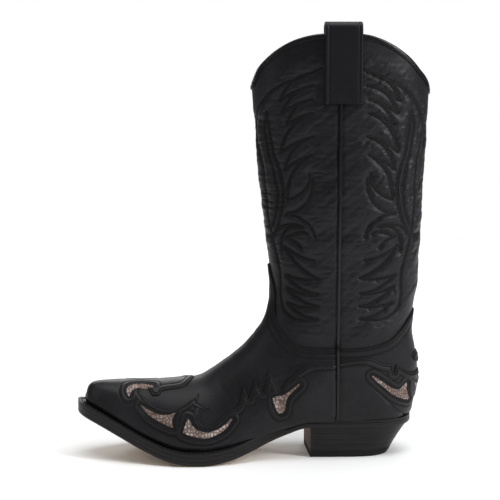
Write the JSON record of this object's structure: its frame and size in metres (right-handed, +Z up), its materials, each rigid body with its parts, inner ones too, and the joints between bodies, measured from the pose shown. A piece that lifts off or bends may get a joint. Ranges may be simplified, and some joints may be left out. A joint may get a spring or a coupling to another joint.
{
  "type": "cowboy boot",
  "caption": "Left pull-on western boot with a scalloped stitched leg, pull straps, snake-skin inlays, pointed toe, stitched welt and undershot stacked heel.",
  "frame": {"origin": "middle of the heel's ground face", "axes": "+X toward the toe, +Y toward the outer side of the foot, +Z up the leg"},
  "size_m": [0.3174, 0.1004, 0.389],
  "materials": {
    "upper_leather": "satin, lightly creased",
    "overlay_leather": "satin, smooth",
    "strap_leather": "matt, smooth",
    "trim_leather": "glossy",
    "lining_leather": "natural, matt",
    "snake_skin": "scaled, satin",
    "sole_leather": "edge-painted, satin",
    "insole_leather": "natural, matt",
    "heel_rubber": "matt",
    "stiff_board": "pressed board, matt",
    "cork": "granular, matt",
    "steel": "plain",
    "peg_wood": "plain"
  },
  "bodies": {
    "root": {"cork_filler": "cork", "counter_cover": "upper_leather", "counter_stiffener": "stiff_board", "front_foxing": "overlay_leather", "heel_foxing": "overlay_leather", "heel_lift_1": "sole_leather", "heel_lift_2": "sole_leather", "heel_lift_3": "sole_leather", "heel_lift_4": "sole_leather", "heel_lining": "lining_leather", "heel_nail_1": "steel", "heel_nail_2": "steel", "heel_nail_3": "steel", "heel_nail_4": "steel", "heel_nail_5": "steel", "heel_pad": "lining_leather", "heel_rand": "sole_leather", "inlay_ball_wing_lateral": "snake_skin", "inlay_ball_wing_medial": "snake_skin", "inlay_heel_back": "snake_skin", "inlay_heel_wing_lateral": "snake_skin", "inlay_heel_wing_medial": "snake_skin", "inlay_toe_crescent_lateral": "snake_skin", "inlay_toe_crescent_medial": "snake_skin", "inlay_toe_wedge_lateral": "snake_skin", "inlay_toe_wedge_medial": "snake_skin", "inlay_waist_bird_lateral": "snake_skin", "inlay_waist_bird_medial": "snake_skin", "insole": "insole_leather", "lining_back": "lining_leather", "lining_front": "lining_leather", "midsole": "sole_leather", "outsole": "sole_leather", "pull_strap_lateral": "strap_leather", "pull_strap_medial": "strap_leather", "shaft_back": "upper_leather", "shaft_front": "upper_leather", "shank": "steel", "side_piping_lateral": "trim_leather", "side_piping_medial": "trim_leather", "toe_puff": "stiff_board", "top_lift": "heel_rubber", "topline_binding_back": "trim_leather", "topline_binding_front": "trim_leather", "vamp": "upper_leather", "vamp_backing": "lining_leather", "vamp_lining": "lining_leather", "waist_peg_1": "peg_wood", "waist_peg_2": "peg_wood", "waist_peg_3": "peg_wood", "waist_peg_4": "peg_wood", "waist_peg_5": "peg_wood", "waist_peg_6": "peg_wood", "welt": "sole_leather"}
  },
  "joints": []
}
